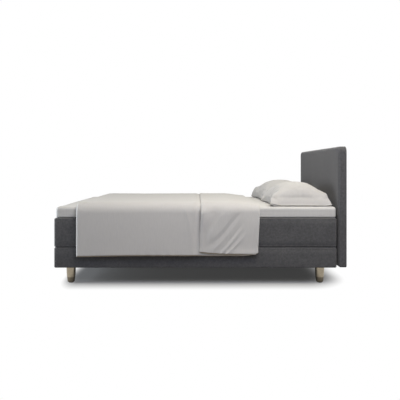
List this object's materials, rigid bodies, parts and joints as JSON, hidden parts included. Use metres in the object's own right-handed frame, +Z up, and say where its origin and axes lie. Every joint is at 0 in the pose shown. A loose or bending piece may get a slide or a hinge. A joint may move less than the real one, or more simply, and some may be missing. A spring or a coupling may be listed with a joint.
{
  "type": "box spring bed",
  "caption": "Upholstered box spring bed: spring base on turned metal feet, pocket-spring mattress, topper, turned-down duvet, pillows and an upholstered headboard.",
  "frame": {"origin": "on the floor, under the middle of the whole bed with its headboard", "axes": "+X towards the head of the bed, +Z up; -Y is the side nearest the camera"},
  "size_m": [2.07, 1.4656, 0.977],
  "materials": {
    "charcoal_weave": "matte",
    "ivory_cotton": "matte",
    "white_sheet": "matte",
    "pine": "matte",
    "chipboard": "matte",
    "foam": "matte",
    "spring_pocket": "matte",
    "felt": "matte",
    "black_fleece": "matte",
    "satin_metal": "satin",
    "zinc": "satin",
    "black_plastic": "matte"
  },
  "bodies": {
    "base": {"base_cover": "charcoal_weave", "base_dust_cover": "black_fleece", "base_felt_pad": "felt", "base_foam_cap": "foam", "base_rail_foot": "pine", "base_rail_head": "pine", "base_rail_left": "pine", "base_rail_right": "pine", "base_slat_1": "pine", "base_slat_2": "pine", "base_slat_3": "pine", "base_slat_4": "pine", "base_slat_5": "pine", "base_slat_6": "pine", "base_spring_core": "spring_pocket", "corner_block_foot_left": "pine", "corner_block_foot_right": "pine", "corner_block_head_left": "pine", "corner_block_head_right": "pine", "foot_foot_left": "satin_metal", "foot_foot_right": "satin_metal", "foot_glide_foot_left": "black_plastic", "foot_glide_foot_right": "black_plastic", "foot_glide_head_left": "black_plastic", "foot_glide_head_right": "black_plastic", "foot_head_left": "satin_metal", "foot_head_right": "satin_metal", "foot_stud_foot_left": "zinc", "foot_stud_foot_right": "zinc", "foot_stud_head_left": "zinc", "foot_stud_head_right": "zinc", "foot_t_nut_foot_left": "zinc", "foot_t_nut_foot_right": "zinc", "foot_t_nut_head_left": "zinc", "foot_t_nut_head_right": "zinc", "headboard_back_cloth": "black_fleece", "headboard_bolt_left": "zinc", "headboard_bolt_right": "zinc", "headboard_cover": "charcoal_weave", "headboard_foam": "foam", "headboard_panel": "chipboard", "headboard_spacer_left": "black_plastic", "headboard_spacer_right": "black_plastic", "headboard_t_nut_left": "zinc", "headboard_t_nut_right": "zinc"},
    "mattress": {"mattress_cover": "charcoal_weave", "mattress_bottom_panel": "black_fleece", "mattress_base_foam": "foam", "mattress_edge_foam": "foam", "mattress_spring_core": "spring_pocket", "mattress_top_foam": "foam"},
    "topper": {"topper_core": "foam", "fitted_sheet": "white_sheet"},
    "duvet": {"duvet": "ivory_cotton"},
    "pillow_right": {"pillow_right": "ivory_cotton", "pillowcase_right": "ivory_cotton"},
    "pillow_left": {"pillow_left": "ivory_cotton", "pillowcase_left": "ivory_cotton"}
  },
  "joints": [
    {"name": "mattress_lift", "type": "slide", "parent": "base", "child": "mattress", "axis": [0, 0, 1], "range_m": [0, 0.3]},
    {"name": "topper_lift", "type": "slide", "parent": "mattress", "child": "topper", "axis": [0, 0, 1], "range_m": [0, 0.2]},
    {"name": "duvet_lift", "type": "slide", "parent": "topper", "child": "duvet", "axis": [0, 0, 1], "range_m": [0, 0.45]},
    {"name": "pillow_right_lift", "type": "slide", "parent": "topper", "child": "pillow_right", "axis": [0, 0, 1], "range_m": [0, 0.3]},
    {"name": "pillow_left_lift", "type": "slide", "parent": "topper", "child": "pillow_left", "axis": [0, 0, 1], "range_m": [0, 0.3]}
  ]
}
